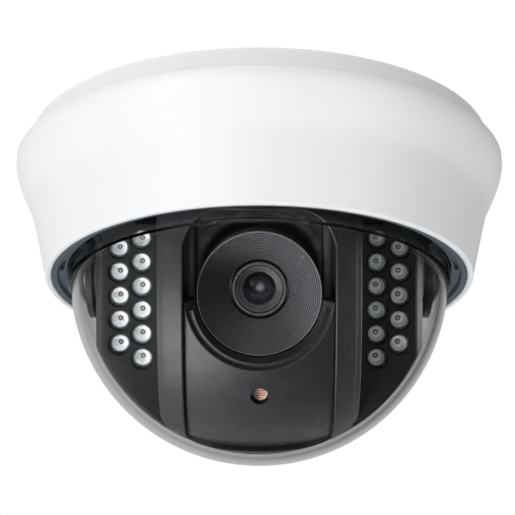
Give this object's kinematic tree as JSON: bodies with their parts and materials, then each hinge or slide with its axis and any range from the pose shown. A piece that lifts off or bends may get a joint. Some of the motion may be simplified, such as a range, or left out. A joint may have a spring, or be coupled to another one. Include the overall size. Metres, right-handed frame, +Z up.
{
  "type": "dome cctv camera",
  "caption": "Indoor ceiling dome camera: white base and pull-off cover, clear bubble, and a black camera ball with a lens, a light sensor and infrared LEDs that pans, tilts and turns its image.",
  "frame": {"origin": "centre of the flat face that meets the ceiling", "axes": "+Z up into the ceiling; the lens looks towards -Y and down; +X to the right seen from behind the camera"},
  "size_m": [0.1306, 0.1306, 0.0877],
  "materials": {
    "white_plastic": "satin white ABS",
    "base_plastic": "matte white ABS",
    "slate_trim": "slate blue moulded plastic",
    "clear_bubble": "clear polycarbonate, polished",
    "black_abs": "black ABS with a fine grain",
    "black_machined": "black anodised, turned",
    "led_epoxy": "clear epoxy",
    "lens_glass": "coated optical glass",
    "filter_glass": "infrared cut glass",
    "pcb_green": "green solder mask",
    "chip_black": "moulded chip package",
    "sensor_dark": "sensor package",
    "photocell_face": "light sensor with a winding track",
    "zinc_steel": "zinc plated",
    "dark_steel": "black oxide",
    "spring_steel": "bright spring steel",
    "brass_post": "plain brass",
    "black_rubber": "soft rubber",
    "ivory_plastic": "natural nylon",
    "red_lead": "PVC insulation",
    "yellow_lead": "PVC insulation"
  },
  "bodies": {
    "base": {"base_plate": "base_plastic", "cable_grommet": "black_rubber", "pan_retainer": "zinc_steel", "pan_retainer_screws": "dark_steel", "pan_washer": "ivory_plastic", "cover_springs": "spring_steel", "cover_spring_screws": "dark_steel"},
    "cover": {"cover_shell": "white_plastic", "trim_ring": "slate_trim", "bubble_seal": "black_rubber", "bubble": "clear_bubble", "bubble_clamp_ring": "black_abs", "bubble_clamp_screws": "dark_steel"},
    "pan_stage": {"turntable": "black_abs", "yoke_arm_left": "black_abs", "yoke_arm_right": "black_abs", "yoke_screws": "dark_steel"},
    "pan_lock": {"pan_lock_screw": "zinc_steel"},
    "ball": {"front_shroud": "black_abs", "pivot_screw_left": "zinc_steel", "pivot_washers": "ivory_plastic", "led_board_left": "pcb_green", "led_board_right": "pcb_green", "ir_leds_left": "led_epoxy", "ir_leds_right": "led_epoxy", "led_resistors": "chip_black", "led_board_screws": "zinc_steel", "led_lead": "red_lead", "lens_bib": "black_abs", "bib_screws": "dark_steel", "photocell": "photocell_face", "photocell_board": "pcb_green", "photocell_lead": "yellow_lead", "lens_bracket": "black_abs", "lens_bracket_screws": "dark_steel"},
    "tilt_lock": {"pivot_screw_right": "zinc_steel"},
    "camera_module": {"rotation_ring": "black_abs", "rotation_clip": "black_abs", "rotation_clip_screws": "dark_steel", "lens_trim_ring": "black_machined", "board_standoffs": "brass_post", "sensor_board": "pcb_green", "image_sensor": "sensor_dark", "ir_cut_filter": "filter_glass", "lens_mount": "black_machined", "lens_mount_screws": "dark_steel", "board_spacers": "brass_post", "main_board": "pcb_green", "processor_chip": "chip_black", "board_header": "ivory_plastic", "wire_connector": "ivory_plastic"},
    "lens_nut": {"lens_lock_nut": "dark_steel"},
    "lens": {"lens_barrel": "black_machined", "front_element": "lens_glass", "rear_element": "lens_glass", "aperture_stop": "dark_steel"}
  },
  "joints": [
    {"name": "pan", "type": "hinge", "parent": "base", "child": "pan_stage", "pos_m": [0, 0, -0.0066], "axis": [0, 0, 1], "range_deg": [-170, 170]},
    {"name": "tilt", "type": "hinge", "parent": "pan_stage", "child": "ball", "pos_m": [0, 0, -0.0377], "axis": [1, 0, 0], "range_deg": [-20, 63]},
    {"name": "image_rotation", "type": "hinge", "parent": "ball", "child": "camera_module", "pos_m": [0, 0, -0.0377], "axis": [0, -0.8949, -0.4462], "range_deg": [-175, 175]},
    {"name": "focus_turn", "type": "hinge", "parent": "camera_module", "child": "lens_nut", "pos_m": [0, 0, -0.0377], "axis": [0, -0.8949, -0.4462], "range_deg": [-360, 720]},
    {"name": "focus_travel", "type": "slide", "parent": "lens_nut", "child": "lens", "axis": [0, -0.8949, -0.4462], "range_m": [-0.0005, 0.001]},
    {"name": "cover_pull", "type": "slide", "parent": "base", "child": "cover", "axis": [0, 0, -1], "range_m": [0, 0.08]},
    {"name": "pan_lock_turn", "type": "hinge", "parent": "pan_stage", "child": "pan_lock", "pos_m": [0, 0.031, -0.0066], "axis": [0, 0, 1], "range_deg": [-360, 0]},
    {"name": "tilt_lock_turn", "type": "hinge", "parent": "ball", "child": "tilt_lock", "pos_m": [0.0457, 0, -0.0377], "axis": [1, 0, 0], "range_deg": [0, 360]}
  ],
  "couplings": [
    {"joint": "focus_turn", "follows": "focus_travel", "rad_per_m": 12566}
  ]
}
